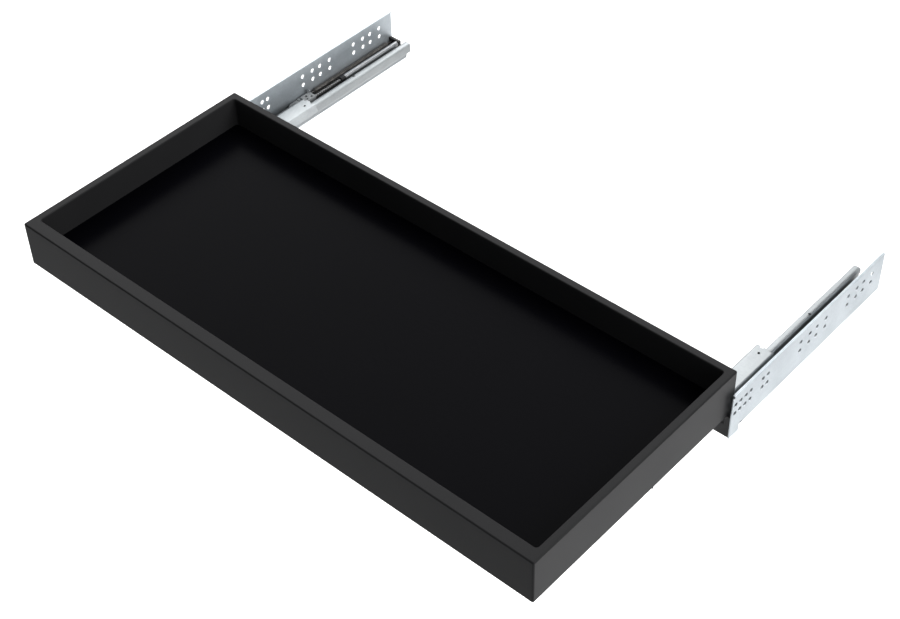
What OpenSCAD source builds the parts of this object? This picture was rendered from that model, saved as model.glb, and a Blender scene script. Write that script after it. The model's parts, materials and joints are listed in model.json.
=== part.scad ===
// Shallow pull-out tray on a pair of full-extension undermount drawer slides, shown pulled out.
// Millimetres. X runs across the cabinet, Y towards its back and Z up.
// The origin lies half way between the two slides, at their front ends, level with their undersides.
// Each slide is drawn once for the left side, from the outer face of its flange inwards, and is
// mirrored for the right side.

/* [Cabinet] */
// Clear width between the cabinet's sides, which is the distance between the flanges' outer faces
opening_w = 770; // [600:2:1000]
// Nominal length of a slide
slide_l = 300; // [300:10:340]
// How far the tray travels from pulled out to closed
travel = 280; // [240:5:285]

/* [Tray] */
// Gap between the cabinet's side and the tray's side
side_gap = 5; // [4.5:0.5:6]
// Depth of the tray from front to back
tray_d = 333; // [329:1:337]
// Height of the tray's boards
tray_h = 60; // [45:1:90]
// Thickness of the front board
front_t = 16.7; // [14:0.1:19]
// Thickness of the side boards and the back board
board_t = 10; // [9:0.1:10.4]
// Thickness of the bottom panel
panel_t = 12; // [8:0.5:16]
// Distance from the slides' front ends forward to the tray's front
tray_reach = 323; // [321:1:325]

/* [Slide section] */
// Thickness of the folded steel
sheet_t = 1.2; // [1:0.1:1.3]
// Height of the cabinet profile's flange above the underside
flange_h = 63; // [58:1:70]
// Diameter of the screw holes in the flange
hole_d = 6; // [4:0.1:6.4]
// Height of the upper row of screw holes
upper_row_z = 48; // [46:0.5:52]
// Distance between the two rows of screw holes
row_pitch = 13; // [10:0.5:15]

/* [Soft close] */
// Stroke of the catch and of the damper
catch_stroke = 32; // [20:1:36]
// Outside diameter of the damper's cylinder
damper_d = 8; // [7:0.1:8.2]
// Outside diameter of the closing spring
closing_spring_d = 6.6; // [5.6:0.1:6.8]

/* [Hidden] */

$fn = 48;
bend_steps = 6;      // flat faces round a tight bend of the folded steel
wide_bend_steps = 16; // flat faces round a bend of more than wide_bend_r
wide_bend_r = 4;
cut = 1;             // how far a cutting shape runs past the face that it cuts
zinc = "gainsboro";
bright_zinc = "lightgrey";
lacquer = "#26262a";
black_plastic = "#1c1c1e";

// Tray
front_y = -tray_reach;
back_y = front_y + tray_d;
tray_half_w = opening_w / 2 - side_gap;
panel_recess = 8.5;                       // how far the panel lies above the boards' lower edges
groove_d = 4;                             // how deep the panel's tongue sits in the boards
tongue_t = 6;                             // thickness of that tongue
edge_r = 1.8;                             // rounding of the boards' outer edges
inner_front_y = front_y + front_t;
inner_back_y = back_y - board_t;
dowel_d = 6;
dowel_l = 20;
dowel_in_side = 12;                       // how much of a dowel is in the side board
dowel_inset = 9;                          // from the panel and from the rim to a dowel's axis

// Heights of the moving profiles
head_top_z = 25.5;                        // running surface of the fixed rail
middle_top_z = 33;
drawer_top_z = 41;                        // the panel rests on the drawer profile here
board_bottom_z = drawer_top_z - panel_recess;
rim_z = board_bottom_z + tray_h;
panel_top_z = drawer_top_z + panel_t;

// Places along the slide, with the tray pulled out
middle_l = 238;
middle_back_y = 111;
middle_front_y = middle_back_y - middle_l;
drawer_back_y = back_y - 8;
drawer_front_y = drawer_back_y - 300;
lower_carriage_y = 55;                    // centre of the carriage
lower_carriage_l = 100;
upper_carriage_y = -61;
upper_carriage_l = 110;

// Soft-close unit
damper_u = 15.6;                          // from the flange's outer face to the damper's axis
damper_z = head_top_z - 5.1;
rod_d = 3;
return_spring_d = 6.4;
closing_spring_u = 5.6;
closing_spring_z = head_top_z - 5.9;
spring_wire_d = 1;
catch_y = 124;                            // centre of the catch while it is cocked
catch_l = 20;
catch_back_y = catch_y + catch_l / 2;
cylinder_front_y = 183;
unit_back_y = slide_l - 2;
unit_front_y = 20;
wall_t = 4;
pin_u = 10.5;
pin_d = 2.4;
pin_bottom_z = damper_z + 1.1;
unit_floor_z = damper_z - 5.1;            // top of the housing's floor
unit_floor_t = 4.1;
catch_bottom_z = unit_floor_z + 0.4;
catch_top_z = damper_z + 4;
track_front_y = 32;
track_rear_y = catch_y - catch_l / 2 - 1;
track_top_z = pin_bottom_z - 0.5;         // the pin passes just above the track

// Locking clip under the tray's front
clip_u = 53;
clip_w = 42;
clip_front_y = inner_front_y + 1;
clip_l = 52;
clip_t = 5;                               // keeps the lever level with the boards' lower edges
lever_t = 3.1;
lever_z = drawer_top_z - clip_t - 3.5;    // underside of the release lever
pivot_u = 66;
pivot_y = clip_front_y + 40;
pivot_d = 4;
pivot_clearance = 0.05;

// Columns of screw holes, measured from the slide's front end
end_group = [for (offset_y = [-14, -4.75, 4.75, 14]) 20 + offset_y];
pair_group = [for (offset_y = [-4.75, 4.75]) 61.5 + offset_y];
raster_offsets = [-25, -7, 7, 25];
raster_groups = [for (centre_y = [155, 251]) for (offset_y = raster_offsets) centre_y + offset_y];
hole_columns = concat(end_group, pair_group, raster_groups);

// ---- outlines of folded steel ----

function unit(v) = v / norm(v);
function left_of(v) = [-v[1], v[0]];
function turned(v, angle) = [v[0] * cos(angle) - v[1] * sin(angle), v[0] * sin(angle) + v[1] * cos(angle)];
function cross_of(a, b) = a[0] * b[1] - a[1] * b[0];

// The corner between directions a and b, moved d to the left of the line
function moved_corner(p, a, b, d) =
    p + d * (left_of(a) + left_of(b)) / (1 + left_of(a) * left_of(b));

// Points of a rounded corner that lies d to the left of the sheet's middle line
function corner_points(p, a, b, r, d) =
    let (side = sign(cross_of(a, b)),
         angle = acos(a * b),
         corner = moved_corner(p, a, b, d),
         corner_r = r - side * d,
         start = corner - a * corner_r * tan(angle / 2),
         centre = start + side * corner_r * left_of(a),
         steps = r > wide_bend_r ? wide_bend_steps : bend_steps)
    [for (i = [0:steps]) centre + turned(start - centre, side * angle * i / steps)];

// One side of a folded sheet: line is its middle line, radii has one radius for each corner
function sheet_side(line, radii, d) =
    let (last = len(line) - 1)
    concat(
        [line[0] + d * left_of(unit(line[1] - line[0]))],
        [for (i = [1:last - 1])
            for (p = corner_points(line[i], unit(line[i] - line[i - 1]),
                                   unit(line[i + 1] - line[i]), radii[i - 1], d)) p],
        [line[last] + d * left_of(unit(line[last] - line[last - 1]))]);

function reversed(points) = [for (i = [len(points) - 1:-1:0]) points[i]];

module folded_sheet(line, radii) {
    polygon(concat(sheet_side(line, radii, sheet_t / 2),
                   reversed(sheet_side(line, radii, -sheet_t / 2))));
}

// Extrudes an outline in X and Z from y_start back to y_end
module along_y(y_start, y_end) {
    translate([0, y_end, 0]) rotate([90, 0, 0]) linear_extrude(y_end - y_start) children();
}

// A cylinder along Y from y_start to y_end
module rod_y(u, z, d, y_start, y_end) {
    translate([u, y_start, z]) rotate([-90, 0, 0]) cylinder(d = d, h = y_end - y_start);
}

// A cylinder along X, centred on u
module roller_x(u, y, z, d, l) {
    translate([u - l / 2, y, z]) rotate([0, 90, 0]) cylinder(d = d, h = l);
}

// A box given by its two opposite corners
module box(low, high) {
    translate(low) cube(high - low);
}

// Draws a piece of the left slide on the side that is asked for
module on_side(side) {
    if (side == "left") {
        translate([-opening_w / 2, 0, 0]) children();
    } else {
        mirror([1, 0, 0]) translate([-opening_w / 2, 0, 0]) children();
    }
}

// ---- tray ----

// Plan of the whole tray with rounded vertical edges
module tray_plan() {
    inner_w = tray_half_w - edge_r;
    union() {
        translate([-inner_w, front_y]) square([2 * inner_w, tray_d]);
        translate([-tray_half_w, front_y + edge_r]) square([2 * tray_half_w, tray_d - 2 * edge_r]);
        for (x = [-inner_w, inner_w], y = [front_y + edge_r, back_y - edge_r])
            translate([x, y]) circle(r = edge_r);
    }
}

module tray_block() {
    translate([0, 0, board_bottom_z]) linear_extrude(tray_h) tray_plan();
}

module panel_groove() {
    box([-tray_half_w + board_t - groove_d, inner_front_y - groove_d, drawer_top_z],
        [tray_half_w - board_t + groove_d, inner_back_y + groove_d, drawer_top_z + tongue_t]);
}

// Places of the dowels at a side board's end: side is -1 or 1
module dowel_set(side, d) {
    dowel_x = side * (tray_half_w - board_t / 2);
    for (z = [panel_top_z + dowel_inset, rim_z - dowel_inset]) {
        rod_y(dowel_x, z, d, inner_front_y - dowel_l + dowel_in_side, inner_front_y + dowel_in_side);
        rod_y(dowel_x, z, d, inner_back_y - dowel_in_side, inner_back_y + dowel_l - dowel_in_side);
    }
}

module all_dowels() {
    dowel_set(-1, dowel_d);
    dowel_set(1, dowel_d);
}

module front_board() color(lacquer) difference() {
    intersection() {
        tray_block();
        box([-tray_half_w, front_y, board_bottom_z], [tray_half_w, inner_front_y, rim_z]);
    }
    panel_groove();
    all_dowels();
}

// The back board is notched on its lower side, where the two slides pass under the panel
module back_board() color(lacquer) difference() {
    intersection() {
        tray_block();
        box([-tray_half_w, inner_back_y, board_bottom_z], [tray_half_w, back_y, rim_z]);
    }
    panel_groove();
    all_dowels();
    for (side = ["left", "right"])
        on_side(side)
            box([side_gap + board_t, inner_back_y - cut, board_bottom_z - cut],
                [56, back_y + cut, drawer_top_z]);
}

module side_board(side) color(lacquer) difference() {
    on_side(side)
        box([side_gap, inner_front_y, board_bottom_z], [side_gap + board_t, inner_back_y, rim_z]);
    panel_groove();
    all_dowels();
}

// The panel fills the tray between the boards, and its thinner tongue fills their grooves
module bottom_panel() color(lacquer) difference() {
    union() {
        panel_groove();
        box([-tray_half_w + board_t, inner_front_y, drawer_top_z],
            [tray_half_w - board_t, inner_back_y, panel_top_z]);
    }
    for (side = ["left", "right"]) on_side(side) screw_shanks(screw_d + 0.1, drawer_top_z - cut);
}

module joint_dowels() color("burlywood") all_dowels();

// ---- fixed rail ----

lower_bend_r = 11;                        // outside radius of the cabinet profile's lower bend
tab_l = 18;                               // the flange's front runs straight down as a tab
relief_r = 4;                             // rounding of the relief cut between the tab and the bend
relief_y = tab_l + 4;
guide_high_u = 21.9;                      // inner side of the end guide
floor_w = 27.8;                           // the floor ends just past the rail's foot
lip_w = 3;                                // the flange's top lip, cut off at its front corner

module cabinet_profile() color(zinc) {
    mid = sheet_t / 2;
    difference() {
        along_y(0, slide_l)
            folded_sheet([[lip_w - 0.2, flange_h - mid], [mid, flange_h - mid], [mid, mid],
                          [floor_w, mid]],
                         [1.2, lower_bend_r - mid]);
        for (y = hole_columns, z = [upper_row_z, upper_row_z - row_pitch])
            translate([-cut, y, z]) rotate([0, 90, 0]) cylinder(d = hole_d, h = sheet_t + 2 * cut);
        box([-cut, -cut, -cut], [lower_bend_r, relief_y, lower_bend_r]);
        roller_x((lower_bend_r - cut) / 2, relief_y, lower_bend_r - relief_r,
                 2 * relief_r, lower_bend_r + cut);
        box([-cut, -cut, -cut], [guide_high_u, tab_l, sheet_t + cut]);
        rivet_shanks(cut);
        box([-cut, -cut, flange_h - lip_w], [lip_w, lip_w, flange_h + cut]);
    }
    box([0, 0, 0], [sheet_t, tab_l, lower_bend_r]);
}

head_low_u = 25.5;
head_high_u = 35.2;
neck_low_u = 27.4;
head_low_z = head_top_z - 7;
neck_top_z = head_top_z - 9;
hem_z = head_top_z - 14;                  // lower end of the head's side that faces the tray
hem_u = 31.2;
shoulder_r = 2.4;                         // rounding of the head's side that faces the flange
bead_u = 28.3;                            // shallow groove along the head
rivet_columns = [40, 110, 180, 250];
rivet_u = 24;
rivet_d = 2.4;
rivet_head_d = 3.2;

// A foot on the cabinet profile's floor, a neck and a hooked head that the rollers run on
module running_rail() color(bright_zinc) difference() {
    mid = sheet_t / 2;
    foot_z = sheet_t + mid;
    along_y(2, slide_l)
        folded_sheet([[22, foot_z], [neck_low_u, foot_z], [neck_low_u, neck_top_z],
                      [head_low_u + mid, head_low_z], [head_low_u + mid, head_top_z - mid],
                      [head_high_u - mid, head_top_z - mid], [head_high_u - mid, hem_z + mid],
                      [hem_u, hem_z + mid]],
                     [1.2, 0.8, 0.8, shoulder_r, 1.8, 1.2]);
    box([bead_u, 2 - cut, head_top_z - 0.4], [bead_u + 0.7, slide_l + cut, head_top_z + cut]);
    translate([28.4, 196, head_top_z - 2 * sheet_t]) cylinder(d = 3.4, h = 3 * sheet_t);
    rivet_shanks(cut);
}

// Shanks through the floor and the rail's foot, run past both faces by margin
module rivet_shanks(margin) {
    for (y = rivet_columns)
        translate([rivet_u, y, -margin]) cylinder(d = rivet_d, h = 2 * sheet_t + 2 * margin);
}

// Rivets join the rail's foot to the profile's floor, with heads on top
module rail_rivets() color(bright_zinc) {
    rivet_shanks(0);
    for (y = rivet_columns)
        translate([rivet_u, y, 2 * sheet_t]) cylinder(d = rivet_head_d, h = 0.8);
}

// Black plastic guide that closes the slide's front end and steers the actuator over itself
module end_guide() color(black_plastic) {
    steps = [[sheet_t, 8.2, board_bottom_z - 1.2],
             [8.2, 19.8, pin_bottom_z - 3.3],
             [19.8, guide_high_u - 0.1, middle_top_z - 18]];
    for (step = steps)
        box([step[0], 0.5, 0], [step[1], tab_l - 0.4, step[2]]);
}

// ---- soft-close unit ----

// Carrier with a foot on the cabinet profile's floor, pockets under the spring and a rear wall
module softclose_housing() color(black_plastic) {
    under_floor_z = unit_floor_z - unit_floor_t;
    difference() {
        union() {
            box([1.6, unit_front_y, under_floor_z], [19.6, unit_back_y, unit_floor_z]);
            box([11.4, unit_front_y, sheet_t], [19.4, unit_back_y, under_floor_z]);
            box([1.6, unit_back_y - wall_t, unit_floor_z], [19.6, unit_back_y, catch_top_z]);
            box([10.2, cylinder_front_y - 2, unit_floor_z], [11.3, unit_back_y, damper_z + 0.6]);
        }
        box([13, unit_front_y + 6, sheet_t - cut], [17.8, unit_back_y - 6, under_floor_z - cut]);
        for (y = [catch_back_y + 6 : 26 : unit_back_y - 20])
            box([3, y, under_floor_z - cut], [9, y + 14, unit_floor_z + cut]);
    }
}

// Grooved track in front of the catch, wider at its rear end and slotted beside the groove
module catch_track() color("grey") difference() {
    slot_u = 16;
    slot_w = 2.2;
    slot_l = 6;
    translate([0, 0, unit_floor_z])
        linear_extrude(track_top_z - unit_floor_z)
            polygon([[7.2, track_front_y], [19.4, track_front_y], [19.4, track_rear_y],
                     [3.6, track_rear_y], [3.6, track_rear_y - 12], [7.2, track_rear_y - 18]]);
    box([pin_u - 1.7, track_front_y - cut, unit_floor_z + 2.4],
        [pin_u + 1.7, track_rear_y + cut, track_top_z + cut]);
    for (y = [track_front_y + 10 : 18 : track_rear_y - 8]) {
        box([slot_u - slot_w / 2, y - slot_l / 2, unit_floor_z + 2],
            [slot_u + slot_w / 2, y + slot_l / 2, track_top_z + cut]);
        for (end_y = [y - slot_l / 2, y + slot_l / 2])
            translate([slot_u, end_y, unit_floor_z + 2]) cylinder(d = slot_w, h = track_top_z);
    }
}

module damper_cylinder() color("silver") difference() {
    rod_y(damper_u, damper_z, damper_d, cylinder_front_y, unit_back_y - wall_t);
    rod_y(damper_u, damper_z, rod_d + 0.1, cylinder_front_y - cut, unit_back_y - wall_t - 4);
}

module sleeve_y(u, z, d, y_start, y_end) difference() {
    rod_y(u, z, d, y_start, y_end);
    rod_y(u, z, d - 2 * spring_wire_d, y_start - cut, y_end + cut);
}

module closing_spring() color("dimgrey")
    sleeve_y(closing_spring_u, closing_spring_z, closing_spring_d, catch_back_y + 0.3, unit_back_y - wall_t);

module return_spring() color("dimgrey")
    sleeve_y(damper_u, damper_z, return_spring_d, catch_back_y + 0.3, cylinder_front_y);

// The actuator's pin drops into the slot on the catch's top
module catch_slider() color("grey") difference() {
    union() {
        box([2.6, catch_y - catch_l / 2, catch_bottom_z], [19.4, catch_back_y, catch_top_z - 3]);
        box([6.8, catch_y - catch_l / 2 + 3, catch_bottom_z], [19.4, catch_back_y, catch_top_z]);
    }
    box([pin_u - 1.9, catch_y - 1.9, pin_bottom_z - 0.9], [pin_u + 1.9, catch_y + 1.9, catch_top_z + cut]);
    translate([15.6, catch_y - 3, catch_top_z - 2]) cylinder(d = 3.6, h = 4);
    translate([15.6, catch_y + 5, catch_top_z - 2]) cylinder(d = 3.6, h = 4);
}

// Rod and piston of the damper, carried by the catch
module damper_rod() color("silver") {
    rod_y(damper_u, damper_z, rod_d, catch_back_y, cylinder_front_y + 60);
}

// ---- carriages ----

roller_pitch = 24;
lower_roller_d = 5.5;
upper_roller_d = 6;
side_roller_d = 3.1;
lower_roller_z = (head_top_z + middle_top_z - sheet_t) / 2;
upper_roller_z = (middle_top_z + drawer_top_z - sheet_t) / 2;
lower_rollers_y = [for (i = [-1.5:1:1.5]) lower_carriage_y + i * roller_pitch];
upper_rollers_y = [for (i = [-1.5:1:1.5]) upper_carriage_y + i * roller_pitch];
lower_roller_u = 30.3;
upper_roller_u = 31;
lower_side_u = 23.5;

module lower_carriage() color(black_plastic) difference() {
    half = lower_carriage_l / 2;
    union() {
        box([22.3, lower_carriage_y - half, head_top_z + 2.1],
            [39, lower_carriage_y + half, head_top_z + 4.2]);
        for (sides = [[22.3, 24.7], [36.2, 38]])
            box([sides[0], lower_carriage_y - half, head_top_z - 6.5],
                [sides[1], lower_carriage_y + half, head_top_z + 2.2]);
    }
    for (y = lower_rollers_y) {
        box([lower_roller_u - 4.6, y - 3.1, head_top_z], [lower_roller_u + 4.6, y + 3.1, middle_top_z]);
        box([21, y + 10.1, head_top_z - 5.2], [25.5, y + 13.9, head_top_z + 1.1]);
    }
}

module lower_rollers() color(bright_zinc) {
    for (y = lower_rollers_y) {
        roller_x(lower_roller_u, y, lower_roller_z, lower_roller_d, 8.4);
        translate([lower_side_u, y + 12, head_top_z - 4.9]) cylinder(d = side_roller_d, h = 5.7);
    }
}

module upper_carriage() color(black_plastic) difference() {
    half = upper_carriage_l / 2;
    union() {
        box([18, upper_carriage_y - half, middle_top_z + 2.4],
            [43, upper_carriage_y + half, middle_top_z + 4.4]);
        box([18.4, upper_carriage_y - half, middle_top_z - 6],
            [19.8, upper_carriage_y + half, middle_top_z + 2.5]);
    }
    for (y = upper_rollers_y)
        box([upper_roller_u - 8.3, y - 3.4, middle_top_z + 1], [upper_roller_u + 8.3, y + 3.4, drawer_top_z]);
}

module upper_rollers() color(bright_zinc) {
    for (y = upper_rollers_y)
        roller_x(upper_roller_u, y, upper_roller_z, upper_roller_d, 16);
}

// ---- middle profile ----

middle_low_u = 20.3;

module middle_profile() color(zinc) difference() {
    mid = sheet_t / 2;
    along_y(middle_front_y, middle_back_y)
        folded_sheet([[middle_low_u + mid, middle_top_z - 12.5], [middle_low_u + mid, middle_top_z - mid],
                      [41.5, middle_top_z - mid], [46.4, middle_top_z - 9.6], [46.4, middle_top_z - 12.4]],
                     [1.3, 2.2, 1.2]);
    translate([33, middle_back_y - 11, middle_top_z - 2 * sheet_t]) cylinder(d = 3.2, h = 3 * sheet_t);
    translate([24.5, middle_back_y, middle_top_z - 2 * sheet_t]) cylinder(d = 5, h = 3 * sheet_t);
    translate([35.5, middle_back_y, middle_top_z - 2 * sheet_t]) cylinder(d = 5, h = 3 * sheet_t);
}

// ---- drawer profile and what is fixed to the tray ----

screw_d = 4;
drawer_low_u = 16;
drawer_high_u = 51.2;
profile_screws = [[34, drawer_front_y + 14], [34, drawer_front_y + 68]];
clip_screws = [for (y = [8, clip_l - 8]) [clip_u + clip_w - 5, clip_front_y + y]];
screw_tip_z = panel_top_z - 3;            // the screws end inside the panel
screw_head_d = 7.4;
screw_head_h = 2;

module drawer_profile() color(bright_zinc) difference() {
    mid = sheet_t / 2;
    along_y(drawer_front_y, drawer_back_y)
        folded_sheet([[drawer_low_u + mid, drawer_top_z - 15], [drawer_low_u + mid, drawer_top_z - mid],
                      [drawer_high_u - mid, drawer_top_z - mid], [drawer_high_u - mid, drawer_top_z - 16.4],
                      [48, drawer_top_z - 16.4]],
                     [1.2, 1.2, 1.2]);
    for (place = profile_screws)
        translate([place[0], place[1], drawer_top_z - 3 * sheet_t])
            cylinder(d = screw_d + 0.1, h = 4 * sheet_t);
}

module screw_shanks(d, z_start) {
    for (place = concat(profile_screws, clip_screws))
        translate([place[0], place[1], z_start]) cylinder(d = d, h = screw_tip_z - z_start);
}

module tray_screws() color(bright_zinc) {
    for (place = profile_screws) pan_screw(place, drawer_top_z - sheet_t);
    for (place = clip_screws) pan_screw(place, drawer_top_z - clip_t);
}

// A pan-head screw that points up, with a cross recess in its head
module pan_screw(place, head_z) translate([place[0], place[1], 0]) difference() {
    union() {
        translate([0, 0, head_z - screw_head_h]) cylinder(d = screw_head_d, h = screw_head_h);
        translate([0, 0, head_z]) cylinder(d = screw_d, h = screw_tip_z - head_z);
    }
    for (angle = [0, 90])
        rotate([0, 0, angle]) translate([-2, -0.4, head_z - 3]) cube([4, 0.8, 2.2]);
}

// Arm under the side board with the pin that takes the catch along
module actuator() color(black_plastic) {
    actuator_y = catch_y + catch_stroke - travel;
    arm_z = drawer_top_z - 15.8;
    difference() {
        box([pin_u - 1.6, actuator_y - 6, arm_z], [18, actuator_y + 6, arm_z + 3.4]);
        box([drawer_low_u, actuator_y - 6 - cut, drawer_top_z - 15],
            [drawer_low_u + sheet_t, actuator_y + 6 + cut, drawer_top_z]);
    }
    translate([pin_u, actuator_y, pin_bottom_z]) cylinder(d = pin_d, h = arm_z + 1 - pin_bottom_z);
}

// Plastic clip screwed under the panel beside the drawer profile
module locking_clip() color(black_plastic) difference() {
    clip_z = drawer_top_z - clip_t;
    union() {
        box([clip_u, clip_front_y, clip_z], [clip_u + clip_w, clip_front_y + clip_l, drawer_top_z]);
        translate([pivot_u, pivot_y, clip_z - 4]) cylinder(d = pivot_d, h = 5);
        translate([pivot_u, pivot_y, clip_z - 4.6]) cylinder(d = pivot_d + 2.4, h = 0.7);
    }
    for (place = clip_screws)
        translate([place[0], place[1], clip_z - cut]) cylinder(d = screw_d + 0.1, h = clip_t + 2 * cut);
}

// Finger lever that frees the tray from the slide
module release_lever() color("grey") {
    high_z = lever_z + lever_t;
    difference() {
        union() {
            translate([pivot_u, pivot_y, lever_z]) cylinder(d = 11, h = lever_t);
            box([pivot_u - 3, pivot_y - 36, lever_z], [pivot_u + 3, pivot_y, high_z]);
            box([pivot_u - 6, pivot_y - 38.5, lever_z], [pivot_u + 9, pivot_y - 30, high_z]);
            box([clip_u - 0.8, pivot_y - 3, lever_z], [pivot_u, pivot_y + 3, high_z]);
        }
        translate([pivot_u, pivot_y, lever_z - cut])
            cylinder(d = pivot_d + 2 * pivot_clearance, h = lever_t + 2 * cut);
    }
}

// ---- what is drawn ----

front_board();
back_board();
side_board("left");  // left_side_board
side_board("right");  // right_side_board
bottom_panel();
joint_dowels();

for (side = ["left", "right"]) {
    on_side(side) cabinet_profile();
    on_side(side) running_rail();
    on_side(side) rail_rivets();
    on_side(side) end_guide();
    on_side(side) softclose_housing();
    on_side(side) catch_track();
    on_side(side) damper_cylinder();
    on_side(side) closing_spring();
    on_side(side) return_spring();
    on_side(side) catch_slider();
    on_side(side) damper_rod();
    on_side(side) lower_carriage();
    on_side(side) lower_rollers();
    on_side(side) middle_profile();
    on_side(side) upper_carriage();
    on_side(side) upper_rollers();
    on_side(side) drawer_profile();
    on_side(side) actuator();
    on_side(side) locking_clip();
    on_side(side) release_lever();
    on_side(side) tray_screws();
}
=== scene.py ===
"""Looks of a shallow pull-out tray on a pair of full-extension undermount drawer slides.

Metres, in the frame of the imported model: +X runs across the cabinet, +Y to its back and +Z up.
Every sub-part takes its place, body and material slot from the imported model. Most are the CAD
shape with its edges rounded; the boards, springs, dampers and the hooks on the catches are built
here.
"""
import json
import math

import bmesh
import bpy
from mathutils import Matrix, Vector


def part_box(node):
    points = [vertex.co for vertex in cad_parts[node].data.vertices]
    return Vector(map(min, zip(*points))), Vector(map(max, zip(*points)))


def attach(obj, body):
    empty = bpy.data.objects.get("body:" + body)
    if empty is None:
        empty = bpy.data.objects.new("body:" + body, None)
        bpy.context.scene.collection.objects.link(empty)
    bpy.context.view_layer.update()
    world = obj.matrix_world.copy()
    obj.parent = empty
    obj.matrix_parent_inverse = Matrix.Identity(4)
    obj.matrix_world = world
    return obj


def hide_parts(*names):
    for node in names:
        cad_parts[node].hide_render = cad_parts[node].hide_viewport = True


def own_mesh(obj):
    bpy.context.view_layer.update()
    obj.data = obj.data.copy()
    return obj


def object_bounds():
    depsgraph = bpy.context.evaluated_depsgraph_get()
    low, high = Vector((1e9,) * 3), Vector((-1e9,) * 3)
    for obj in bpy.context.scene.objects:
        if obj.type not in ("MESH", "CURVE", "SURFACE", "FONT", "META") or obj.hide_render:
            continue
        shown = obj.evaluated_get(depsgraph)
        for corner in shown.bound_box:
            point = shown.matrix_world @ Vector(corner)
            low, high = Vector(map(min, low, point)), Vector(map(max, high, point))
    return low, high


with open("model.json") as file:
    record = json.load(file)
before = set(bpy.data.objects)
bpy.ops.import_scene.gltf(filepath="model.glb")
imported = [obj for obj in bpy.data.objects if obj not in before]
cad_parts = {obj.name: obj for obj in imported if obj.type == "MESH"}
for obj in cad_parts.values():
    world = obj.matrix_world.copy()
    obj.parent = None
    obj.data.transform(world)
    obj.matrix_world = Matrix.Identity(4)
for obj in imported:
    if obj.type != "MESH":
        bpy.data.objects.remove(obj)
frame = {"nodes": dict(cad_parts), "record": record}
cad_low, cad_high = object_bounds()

MM = 0.001
SIDES = ("left", "right")
RECORD = frame["record"]
SLOT_OF = {row["node"]: row["material_slot"] for row in RECORD["subparts"]}
BODY_OF = {node: body for body, nodes in RECORD["behaviour"]["bodies"].items() for node in nodes}


# ---- materials ----

class Graph:
    """A material with one Principled shader, and short calls that add nodes in front of it."""

    def __init__(self, name, **values):
        self.material = bpy.data.materials.new(name)
        self.material.use_nodes = True
        self.tree = self.material.node_tree
        self.shader = self.tree.nodes["Principled BSDF"]
        self.place = self.tree.nodes.new("ShaderNodeTexCoord").outputs["Object"]
        for socket, value in values.items():
            self.shader.inputs[socket.replace("_", " ")].default_value = value

    def add(self, kind, **values):
        node = self.tree.nodes.new(kind)
        for socket, value in values.items():
            self.feed(node.inputs[socket.replace("_", " ")], value)
        return node

    def feed(self, socket, value):
        if isinstance(value, bpy.types.NodeSocket):
            self.tree.links.new(value, socket)
        else:
            socket.default_value = value

    def stretched(self, scale):
        return self.add("ShaderNodeMapping", Vector=self.place, Scale=scale).outputs["Vector"]

    def noise(self, scale, detail=4.0, stretch=(1, 1, 1)):
        """Soft noise from 0 to 1; scale is the number of its cells in a metre."""
        return self.add("ShaderNodeTexNoise", Vector=self.stretched(stretch), Scale=scale,
                        Detail=detail).outputs[0]

    def cells(self, scale, stretch=(1, 1, 1)):
        """A random value for each cell, as on a spangled zinc coat."""
        cell = self.add("ShaderNodeTexVoronoi", Vector=self.stretched(stretch), Scale=scale)
        return self.add("ShaderNodeSeparateColor", Color=cell.outputs["Color"]).outputs["Red"]

    def spread(self, value, low, high, start=0.3, end=0.7):
        """value between start and end, as a number between low and high."""
        node = self.add("ShaderNodeMapRange", Value=value)
        for socket, number in zip(node.inputs[1:5], (start, end, low, high)):
            socket.default_value = number
        return node.outputs[0]

    def sum(self, a, b, share=1.0):
        """a plus share times b."""
        node = self.add("ShaderNodeMath")
        node.operation = "MULTIPLY_ADD"
        for socket, value in zip(node.inputs, (b, share, a)):
            self.feed(socket, value)
        return node.outputs[0]

    def tint(self, factor, dark, light):
        node = self.add("ShaderNodeMix")
        node.data_type = "RGBA"
        self.feed(node.inputs["Factor"], factor)
        node.inputs[6].default_value = (*dark, 1)
        node.inputs[7].default_value = (*light, 1)
        self.feed(self.shader.inputs["Base Color"], node.outputs[2])

    def rough(self, value):
        self.feed(self.shader.inputs["Roughness"], value)

    def bump(self, height, depth, strength=1.0):
        """Relief of that depth in metres."""
        node = self.add("ShaderNodeBump", Height=height, Distance=depth, Strength=strength)
        self.feed(self.shader.inputs["Normal"], node.outputs["Normal"])


def lacquer(name, dark, light, rough_low, rough_high, specular):
    """Sprayed satin lacquer: orange peel, a trace of the wood's pores and uneven gloss."""
    g = Graph(name, Specular_IOR_Level=specular)
    peel = g.noise(420, 3)
    pores = g.noise(1500, 5, (0.06, 1, 1))
    broad = g.noise(7, 3)
    g.tint(g.sum(g.spread(broad, 0.1, 0.6), pores, 0.5), dark, light)
    g.rough(g.sum(g.spread(broad, rough_low, rough_high), pores, 0.05))
    g.bump(g.sum(peel, pores, 0.6), 0.02 * MM, 0.5)
    return g.material


def zinc(name, dark, light, rough_low, rough_high):
    """Zinc-plated strip: fine spangle, rolling lines along the slide and light handling marks."""
    g = Graph(name, Metallic=0.85)
    rolled = g.noise(1, 5, (1900, 26, 1900))
    spangle = g.cells(520)
    broad = g.noise(24, 4)
    mottled = g.sum(g.spread(broad, 0.0, 0.6), spangle, 0.3)
    g.tint(g.sum(mottled, rolled, 0.25), dark, light)
    g.rough(g.sum(g.spread(rolled, rough_low, rough_high), spangle, 0.06))
    g.bump(rolled, 0.006 * MM, 0.4)
    return g.material


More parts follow.
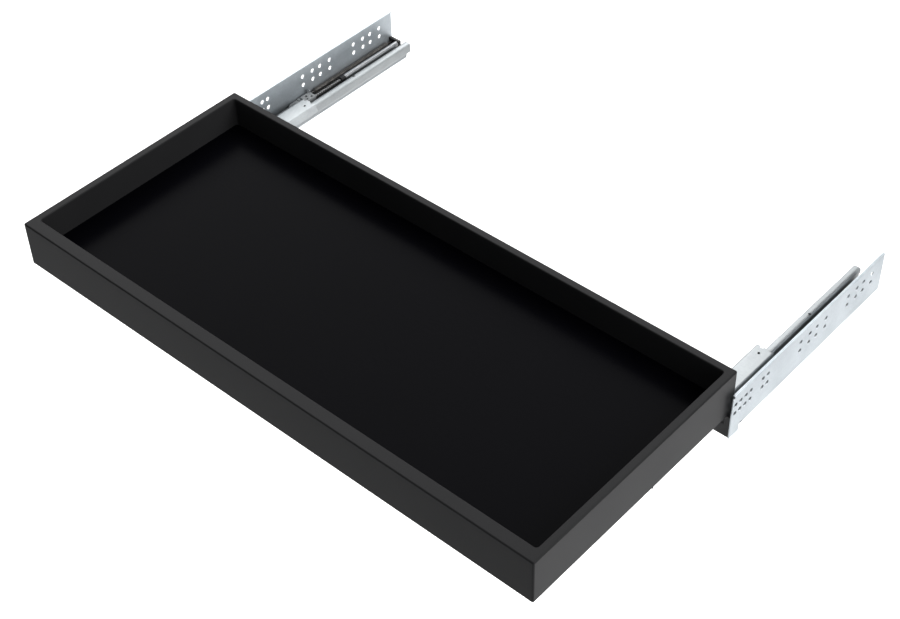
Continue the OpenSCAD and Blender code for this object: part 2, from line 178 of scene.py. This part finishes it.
def drawn_steel(name, dark, light, roughness):
    """Ground or drawn steel: short fine marks round the part and a slightly uneven tone."""
    g = Graph(name, Metallic=0.8)
    marks = g.noise(1, 4, (60, 2600, 60))
    broad = g.noise(90, 3)
    g.tint(g.sum(g.spread(broad, 0.1, 0.7), marks, 0.3), dark, light)
    g.rough(g.spread(marks, roughness - 0.07, roughness + 0.09))
    g.bump(marks, 0.002 * MM, 0.5)
    return g.material


def moulded(name, dark, light, roughness, specular):
    """Glass-filled nylon: spark-eroded grain, faint flow marks and uneven gloss."""
    g = Graph(name, Specular_IOR_Level=specular)
    grain = g.noise(2600, 4)
    flow = g.noise(60, 4, (1, 0.25, 1))
    g.tint(g.sum(g.spread(flow, 0.0, 0.6), grain, 0.4), dark, light)
    g.rough(g.sum(g.spread(flow, roughness - 0.06, roughness + 0.06), grain, 0.08))
    g.bump(grain, 0.03 * MM, 0.5)
    return g.material


def beech(name):
    """Turned beech: flecks and rings drawn out along the dowel."""
    g = Graph(name, Specular_IOR_Level=0.35)
    rings = g.noise(300, 5, (1, 0.08, 1))
    flecks = g.noise(1400, 4, (1, 0.2, 1))
    g.tint(g.sum(g.spread(rings, 0.0, 0.7), flecks, 0.3), (0.45, 0.27, 0.13), (0.70, 0.50, 0.30))
    g.rough(g.spread(flecks, 0.55, 0.7))
    g.bump(flecks, 0.03 * MM, 0.5)
    return g.material


MATERIALS = {
    "tray_lacquer": lacquer("tray_lacquer", (0.0120, 0.0120, 0.0126), (0.0190, 0.0190, 0.0198),
                            0.28, 0.36, 0.045),
    "floor_lacquer": lacquer("floor_lacquer", (0.0008, 0.0008, 0.0014), (0.0014, 0.0014, 0.0022),
                             0.20, 0.26, 0.012),
    "zinc_steel": zinc("zinc_steel", (0.40, 0.44, 0.47), (0.56, 0.60, 0.63), 0.42, 0.54),
    "bright_zinc": zinc("bright_zinc", (0.27, 0.285, 0.295), (0.37, 0.39, 0.40), 0.38, 0.50),
    "roller_steel": drawn_steel("roller_steel", (0.45, 0.45, 0.46), (0.66, 0.66, 0.67), 0.24),
    "damper_steel": drawn_steel("damper_steel", (0.24, 0.25, 0.26), (0.34, 0.35, 0.36), 0.34),
    # Spring wire colour kept darker than plain steel: partly the wire's own tone, partly painted
    # shade of the narrow gap between the slide's flange and the damper tube that the spring lies
    # in.
    "spring_steel": drawn_steel("spring_steel", (0.13, 0.124, 0.118), (0.22, 0.21, 0.20), 0.42),
    "black_plastic": moulded("black_plastic", (0.006, 0.006, 0.007), (0.013, 0.013, 0.014),
                             0.5, 0.3),
    "grey_plastic": moulded("grey_plastic", (0.16, 0.17, 0.175), (0.26, 0.27, 0.275), 0.46, 0.45),
    "dowel_beech": beech("dowel_beech"),
}


# ---- mesh calls ----

SHARP = math.radians(28)   # edges that turn by more are rounded
SMOOTH = math.radians(50)  # edges that turn by less are shaded as one surface


def show(name, bm, body, slot, *nodes):
    """Makes a piece of the mesh that rides on a body and takes the place of CAD nodes."""
    bmesh.ops.recalc_face_normals(bm, faces=bm.faces)
    mesh = bpy.data.meshes.new(name)
    bm.to_mesh(mesh)
    bm.free()
    mesh.materials.append(MATERIALS[slot])
    mesh.shade_smooth()
    mesh.set_sharp_from_angle(angle=SMOOTH)
    piece = bpy.data.objects.new(name, mesh)
    bpy.context.scene.collection.objects.link(piece)
    weigh = piece.modifiers.new("even_shading", "WEIGHTED_NORMAL")
    weigh.keep_sharp = True
    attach(piece, body)
    if nodes:
        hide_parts(*nodes)
    return piece


def show_as(name, bm, node):
    """Makes a piece that stands for the node and moves and looks as the record says."""
    return show(name, bm, BODY_OF[node], SLOT_OF[node], node)


def cad_shape(node):
    """The node's mesh, joined along its edges and with its flat faces made whole."""
    bm = bmesh.new()
    bm.from_mesh(frame["nodes"][node].data)
    bmesh.ops.remove_doubles(bm, verts=bm.verts, dist=0.002 * MM)
    bmesh.ops.dissolve_limit(bm, angle_limit=math.radians(1), verts=bm.verts, edges=bm.edges,
                             use_dissolve_boundaries=False)
    return bm


def round_edges(bm, radius, steps=2):
    sharp = [e for e in bm.edges if e.is_manifold and e.calc_face_angle() > SHARP]
    bmesh.ops.bevel(bm, geom=sharp, offset=radius, offset_type="OFFSET", segments=steps,
                    profile=0.5, affect="EDGES", clamp_overlap=True)
    bmesh.ops.dissolve_degenerate(bm, edges=bm.edges, dist=0.0005 * MM)


def sweep(bm, path, radius, sides=8, closed=False):
    """A round wire along the path."""
    count = len(path)
    rings = []
    across = None
    for i, point in enumerate(path):
        if closed:
            ahead = (path[(i + 1) % count] - path[i - 1]).normalized()
        else:
            ahead = (path[min(i + 1, count - 1)] - path[max(i - 1, 0)]).normalized()
        if across is None:
            across = ahead.orthogonal().normalized()
        across = (across - ahead * across.dot(ahead)).normalized()
        up = ahead.cross(across)
        angles = [2 * math.pi * k / sides for k in range(sides)]
        rings.append([bm.verts.new(point + radius * (math.cos(a) * across + math.sin(a) * up))
                      for a in angles])
    pairs = list(zip(rings, rings[1:])) + ([(rings[-1], rings[0])] if closed else [])
    for a, b in pairs:
        for k in range(sides):
            after = (k + 1) % sides
            bm.faces.new((a[k], a[after], b[after], b[k]))
    if not closed:
        bm.faces.new(rings[0])
        bm.faces.new(rings[-1])


def turn_about_y(bm, centre, profile, segments=40):
    """A turned shape about an axis along Y. profile holds (y, radius), from pole to pole."""
    rings = []
    for y, radius in profile:
        if radius == 0:
            rings.append([bm.verts.new((centre.x, y, centre.z))])
            continue
        angles = [2 * math.pi * k / segments for k in range(segments)]
        rings.append([bm.verts.new((centre.x + radius * math.cos(a), y,
                                    centre.z + radius * math.sin(a))) for a in angles])
    for a, b in zip(rings, rings[1:]):
        for k in range(segments):
            corners = [a[k % len(a)], a[(k + 1) % len(a)], b[(k + 1) % len(b)], b[k % len(b)]]
            bm.faces.new(list(dict.fromkeys(corners)))


def quarter(steps=5):
    """(sine, cosine) along a quarter turn."""
    return [(math.sin(math.pi / 2 * k / steps), math.cos(math.pi / 2 * k / steps))
            for k in range(steps + 1)]


# ---- tray ----

rim_outer_r = 1.8 * MM       # roundings of a board's edges
rim_inner_r = 1.5 * MM
foot_r = 1.0 * MM
outer_corner_r = 2.2 * MM    # roundings of the tray's corners in plan
inner_corner_r = 3.4 * MM
tongue_t = 6 * MM            # thickness of the panel's tongue
notch_w = 41 * MM            # width of the notches that the slides pass through
joint_back_off = 0.3 * MM    # how far past an inner corner's rounding a board ends
notch_gap = 0.1 * MM         # how far a notch reaches above the panel's underside
cut_margin = 10 * MM         # how far a cutting box stands out of a board

front_low, front_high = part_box("front_board")
back_low, back_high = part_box("back_board")
_, left_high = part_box("left_side_board")
panel_low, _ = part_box("bottom_panel")
outer_low, outer_high = front_low, back_high
inner_low = Vector((left_high.x, front_high.y, 0))
inner_high = Vector((-left_high.x, back_low.y, 0))
groove_d = inner_low.x - panel_low.x


def plan_loop(low, high, offset, radius, z, steps=6):
    """Points of a rounded rectangle, grown by offset, at height z."""
    grown = Vector((offset, offset, 0))
    low, high = low - grown, high + grown
    corners = ((high.x - radius, high.y - radius), (low.x + radius, high.y - radius),
               (low.x + radius, low.y + radius), (high.x - radius, low.y + radius))
    points = []
    for quadrant, (x, y) in enumerate(corners):
        for k in range(steps + 1):
            a = math.pi / 2 * (quadrant + k / steps)
            points.append(Vector((x + radius * math.cos(a), y + radius * math.sin(a), z)))
    return points


def board_ring():
    """All four boards as one lacquered frame, with the groove that holds the panel."""
    foot, rim = front_low.z, front_high.z
    groove_low, groove_high = panel_low.z, panel_low.z + tongue_t
    outer = [(foot_r * (1 - s), foot + foot_r * (1 - c)) for s, c in quarter()]
    outer += [(rim_outer_r * (1 - c), rim - rim_outer_r * (1 - s)) for s, c in quarter()]
    inner = [(rim_inner_r * (1 - s), rim - rim_inner_r * (1 - c)) for s, c in quarter()]
    inner += [(0, groove_high), (groove_d, groove_high), (groove_d, groove_low), (0, groove_low)]
    inner += [(foot_r * (1 - c), foot + foot_r * (1 - s)) for s, c in quarter()]
    loops = [plan_loop(outer_low, outer_high, -inset, outer_corner_r - 0.9 * inset, z)
             for inset, z in outer]
    loops += [plan_loop(inner_low, inner_high, outset, inner_corner_r + outset, z)
              for outset, z in inner]
    bm = bmesh.new()
    rings = [[bm.verts.new(p) for p in loop] for loop in loops]
    for a, b in zip(rings, rings[1:] + rings[:1]):
        for k in range(len(a)):
            after = (k + 1) % len(a)
            bm.faces.new((a[k], a[after], b[after], b[k]))
    return bm


def keep_part(bm, point, towards):
    """Cuts the mesh at a plane, keeps what lies towards that side and closes the cut."""
    cut = bmesh.ops.bisect_plane(bm, geom=bm.verts[:] + bm.edges[:] + bm.faces[:], dist=1e-7,
                                 plane_co=point, plane_no=towards, clear_inner=True)
    edges = [e for e in cut["geom_cut"] if isinstance(e, bmesh.types.BMEdge)]
    bmesh.ops.edgeloop_fill(bm, edges=edges)


def keep_side(bm, sign):
    bmesh.ops.delete(bm, geom=[v for v in bm.verts if v.co.x * sign < 0], context="VERTS")


def cut_out(piece, low, high):
    """Takes a box out of a piece."""
    bm = bmesh.new()
    middle, size = (low + high) / 2, high - low
    place = Matrix.Translation(middle) @ Matrix.Diagonal((*size, 1))
    bmesh.ops.create_cube(bm, size=1, matrix=place)
    mesh = bpy.data.meshes.new("cutter")
    bm.to_mesh(mesh)
    bm.free()
    cutter = bpy.data.objects.new("cutter", mesh)
    bpy.context.scene.collection.objects.link(cutter)
    step = piece.modifiers.new("cut", "BOOLEAN")
    step.operation, step.solver, step.object = "DIFFERENCE", "EXACT", cutter
    piece.modifiers.move(len(piece.modifiers) - 1, 0)
    shading = piece.modifiers["even_shading"]
    shading.show_viewport = False
    result = bpy.data.meshes.new_from_object(
        piece.evaluated_get(bpy.context.evaluated_depsgraph_get()))
    shading.show_viewport = True
    piece.modifiers.remove(step)
    piece.data = result
    bpy.data.objects.remove(cutter)


def make_tray():
    start = Vector((0, inner_low.y + inner_corner_r + joint_back_off, 0))
    end = Vector((0, inner_high.y - inner_corner_r - joint_back_off, 0))
    forward, backward = Vector((0, -1, 0)), Vector((0, 1, 0))
    front = board_ring()
    keep_part(front, start, forward)
    show_as("front_board_lacquered", front, "front_board")
    back = board_ring()
    keep_part(back, end, backward)
    back_piece = show_as("back_board_lacquered", back, "back_board")
    for sign in (-1, 1):
        near, far = sorted((sign * abs(left_high.x), sign * (abs(left_high.x) - notch_w)))
        cut_out(back_piece,
                Vector((near, back_low.y - cut_margin, front_low.z - cut_margin)),
                Vector((far, back_high.y + cut_margin, panel_low.z + notch_gap)))
    for side, sign in (("left", -1), ("right", 1)):
        board = board_ring()
        keep_part(board, start, backward)
        keep_part(board, end, forward)
        keep_side(board, sign)
        show_as(f"{side}_side_board_lacquered", board, f"{side}_side_board")


# ---- steel sections, mouldings and fasteners ----

EDGE_R = {  # rounding of the edges, by sub-part
    "bottom_panel": 0.4 * MM, "joint_dowels": 0.5 * MM,
    "cabinet_profile": 0.15 * MM, "running_rail": 0.15 * MM, "rail_rivets": 0.25 * MM,
    "end_guide": 0.8 * MM, "softclose_housing": 0.3 * MM, "catch_track": 0.3 * MM,
    "catch_slider": 0.35 * MM, "damper_rod": 0.25 * MM, "lower_carriage": 0.25 * MM,
    "lower_rollers": 0.3 * MM, "middle_profile": 0.15 * MM, "upper_carriage": 0.25 * MM,
    "upper_rollers": 0.3 * MM, "drawer_profile": 0.15 * MM, "actuator": 0.3 * MM,
    "locking_clip": 0.5 * MM, "release_lever": 0.5 * MM, "tray_screws": 0.12 * MM,
}


def make_rounded(node, kind):
    bm = cad_shape(node)
    round_edges(bm, EDGE_R[kind])
    show_as(f"{node}_finished", bm, node)


# ---- springs and damper ----

wire_r = 0.5 * MM            # wire of both springs
closing_pitch = 1.55 * MM    # one turn of the closing spring to the next
closing_end = 9 * MM         # straight wire at each end of the closing spring
closing_lead = 0.6           # turns over which it winds in to the straight wire
return_turns = 13

cap_length = 8 * MM          # black cap at the damper's front end
cap_rim_r = 0.8 * MM
cap_back_r = 0.3 * MM
cap_stands_out = 0.35 * MM   # how much wider than the tube it is
cap_overlap = 1 * MM         # how far the tube reaches into it
rod_bore_r = 1.55 * MM
tube_end_r = 1.2 * MM        # rounding of the tube's rear end
tube_wall_end = 4 * MM       # thickness of the closed rear end
crimp_half_w = 0.9 * MM
crimp_flat_half_w = 0.4 * MM
crimp_depth = 0.3 * MM
crimp_after_cap = 3 * MM
crimp_before_end = 14 * MM

hook_wire_r = 0.7 * MM
hook_start = 1.2 * MM        # from the catch's outer side to the hook's outer leg
hook_end = 5.8 * MM
hook_root = 5 * MM           # from the catch's underside to the hook's lower wire
hook_rise = 3.6 * MM         # how far it stands above the catch
hook_corner_r = 1.1 * MM
hook_inset = 1.4 * MM        # from the catch's rear end


def coil_path(centre, start_y, end_y, radius, turns, lead):
    """A helix along Y that winds in to the axis over the last lead turns at both ends."""
    per_turn = 20
    steps = round(turns * per_turn)
    points = []
    for k in range(steps + 1):
        turn = k / per_turn
        share = min(1.0, turn / lead, (turns - turn) / lead) if lead else 1.0
        eased = share * share * (3 - 2 * share)
        angle = 2 * math.pi * turn
        y = start_y + (end_y - start_y) * k / steps
        points.append(Vector((centre.x + radius * eased * math.cos(angle), y,
                              centre.z + radius * eased * math.sin(angle))))
    return points


def shorten(piece):
    """Gives the spring a mesh of its own."""
    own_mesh(piece)


def make_closing_spring(side):
    node = f"{side}_closing_spring"
    low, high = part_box(node)
    centre = (low + high) / 2
    radius = (high.x - low.x) / 2 - wire_r
    start_y, end_y = low.y + closing_end, high.y - closing_end
    turns = round((high.y - low.y - 2 * closing_end) / closing_pitch)
    path = [Vector((centre.x, low.y, centre.z))]
    path += coil_path(centre, start_y, end_y, radius, turns, closing_lead)
    path += [Vector((centre.x, high.y, centre.z))]
    bm = bmesh.new()
    sweep(bm, path, wire_r, sides=7)
    shorten(show_as(f"{node}_coil", bm, node))


def make_return_spring(side):
    node = f"{side}_return_spring"
    low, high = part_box(node)
    centre = (low + high) / 2
    radius = (high.x - low.x) / 2 - wire_r
    bm = bmesh.new()
    start_y, end_y = low.y + wire_r, high.y - wire_r
    sweep(bm, coil_path(centre, start_y, end_y, radius, return_turns, 0), wire_r)
    shorten(show_as(f"{node}_coil", bm, node))


def make_damper(side):
    """Crimped tube with a black cap that guides the rod at its front end."""
    node = f"{side}_damper_cylinder"
    low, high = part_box(node)
    centre = (low + high) / 2
    cap_r = (high.x - low.x) / 2
    tube_r = cap_r - cap_stands_out
    cap_end = low.y + cap_length
    bore_end = high.y - tube_wall_end
    tube_start = cap_end - cap_overlap
    profile = [(bore_end, 0), (bore_end, rod_bore_r), (tube_start, rod_bore_r),
               (tube_start, tube_r)]
    for y in (cap_end + crimp_after_cap, high.y - crimp_before_end):
        profile += [(y - crimp_half_w, tube_r), (y - crimp_flat_half_w, tube_r - crimp_depth),
                    (y + crimp_flat_half_w, tube_r - crimp_depth), (y + crimp_half_w, tube_r)]
    profile += [(high.y - tube_end_r * (1 - s), tube_r - tube_end_r * (1 - c))
                for s, c in quarter()]
    profile += [(high.y, 0)]
    tube = bmesh.new()
    turn_about_y(tube, centre, profile)
    show_as(f"{node}_tube", tube, node)

    profile = [(low.y, rod_bore_r)]
    profile += [(low.y + cap_rim_r * (1 - c), cap_r - cap_rim_r * (1 - s))
                for s, c in quarter()]
    profile += [(cap_end - cap_back_r, cap_r), (cap_end, cap_r - cap_back_r),
                (cap_end, rod_bore_r), (low.y, rod_bore_r)]
    cap = bmesh.new()
    turn_about_y(cap, centre, profile)
    bmesh.ops.remove_doubles(cap, verts=cap.verts, dist=1e-7)
    show(f"{node}_cap", cap, BODY_OF[node], "black_plastic")


def make_spring_hook(side):
    """Square wire hook that stands on the catch and holds the closing spring's front end."""
    node = f"{side}_catch_slider"
    low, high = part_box(node)
    inwards = 1 if side == "left" else -1
    outer_x = low.x if side == "left" else high.x
    xs = sorted((outer_x + inwards * hook_start, outer_x + inwards * hook_end))
    loop = plan_loop(Vector((xs[0], low.z + hook_root, 0)),
                     Vector((xs[1], high.z + hook_rise, 0)), 0, hook_corner_r, 0)
    bm = bmesh.new()
    sweep(bm, [Vector((p.x, high.y - hook_inset, p.y)) for p in loop], hook_wire_r, closed=True)
    show(f"{side}_spring_hook", bm, BODY_OF[node], "bright_zinc")


# ---- the object ----

make_tray()
for node in ("bottom_panel", "joint_dowels"):
    make_rounded(node, node)
for side in SIDES:
    for kind in EDGE_R:
        if f"{side}_{kind}" in frame["nodes"]:
            make_rounded(f"{side}_{kind}", kind)
    make_closing_spring(side)
    make_return_spring(side)
    make_damper(side)
    make_spring_hook(side)


# ---- floor, light and camera ----

camera_place = Vector((1.0099, -1.1158, 1.3704))
camera_azimuth = math.radians(42.537)
camera_elevation = math.radians(43.214)
camera_roll = math.radians(-1.530)
camera_lens = 69.04
floor_drop = 3.2              # far enough for views from below to stay above the floor
floor_lamp_height = 1.65      # of the softboxes that light only the floor


def make_floor():
    g = Graph("pale_floor", Specular_IOR_Level=0.2)
    broad = g.noise(1.5, 3)
    g.tint(broad, (0.86, 0.86, 0.86), (0.90, 0.90, 0.90))
    g.rough(g.spread(broad, 0.75, 0.85))
    bm = bmesh.new()
    bmesh.ops.create_grid(bm, x_segments=2, y_segments=2, size=60)
    mesh = bpy.data.meshes.new("floor")
    bm.to_mesh(mesh)
    bm.free()
    mesh.materials.append(g.material)
    floor = bpy.data.objects.new("floor", mesh)
    floor.location.z = cad_low.z - floor_drop
    bpy.context.scene.collection.objects.link(floor)


def make_light(name, place, size, brightness, target):
    """A rectangular softbox that faces its target."""
    data = bpy.data.lights.new(name, "AREA")
    data.shape = "RECTANGLE"
    data.size, data.size_y = size
    data.energy = brightness * math.pi * size[0] * size[1]
    light = bpy.data.objects.new(name, data)
    light.location = place
    light.rotation_euler = (Vector(place) - target).to_track_quat("Z", "Y").to_euler()
    bpy.context.scene.collection.objects.link(light)


def make_studio():
    """A room that is dim overhead and brighter near the horizon, with four softboxes.

    Two hang below the object and light only the floor, behind it and in front of it. The others
    hang above it and at its right.
    """
    world = bpy.data.worlds.new("studio")
    world.use_nodes = True
    tree = world.node_tree
    back = tree.nodes["Background"]
    back.inputs["Color"].default_value = (0.97, 0.985, 1.0, 1)
    way = tree.nodes.new("ShaderNodeSeparateXYZ")
    fade = tree.nodes.new("ShaderNodeMapRange")
    for socket, number in zip(fade.inputs[1:5], (0.05, 0.5, 0.55, 0.2)):
        socket.default_value = number
    tree.links.new(tree.nodes.new("ShaderNodeTexCoord").outputs["Generated"], way.inputs[0])
    tree.links.new(way.outputs["Z"], fade.inputs[0])
    tree.links.new(fade.outputs[0], back.inputs["Strength"])
    bpy.context.scene.world = world
    floor_z = cad_low.z - floor_drop
    lamp_z = floor_z + floor_lamp_height
    object_middle = Vector((0, -0.1, 0.05))
    make_light("backdrop", (-1.3, 2.9, lamp_z), (11.0, 8.1), 2.0, Vector((-1.3, 2.9, floor_z)))
    make_light("foreground", (0.5, -8.5, lamp_z), (18.0, 8.0), 1.3, Vector((0.5, -8.5, floor_z)))
    make_light("overhead", (-1.1, 1.0, 1.6), (2.4, 2.0), 4.0, object_middle)
    make_light("right_side", (2.3, 0.5, 1.5), (1.8, 1.8), 9.0, object_middle)


def make_camera():
    data = bpy.data.cameras.new("camera")
    data.sensor_width = 36
    data.lens = camera_lens
    data.clip_start, data.clip_end = 0.05, 60
    camera = bpy.data.objects.new("camera", data)
    turn = (Matrix.Rotation(camera_azimuth, 4, "Z")
            @ Matrix.Rotation(math.pi / 2 - camera_elevation, 4, "X")
            @ Matrix.Rotation(camera_roll, 4, "Z"))
    camera.matrix_world = Matrix.Translation(camera_place) @ turn
    bpy.context.scene.collection.objects.link(camera)
    bpy.context.scene.camera = camera


make_floor()
make_studio()
make_camera()
bpy.context.scene.view_settings.view_transform = "Standard"
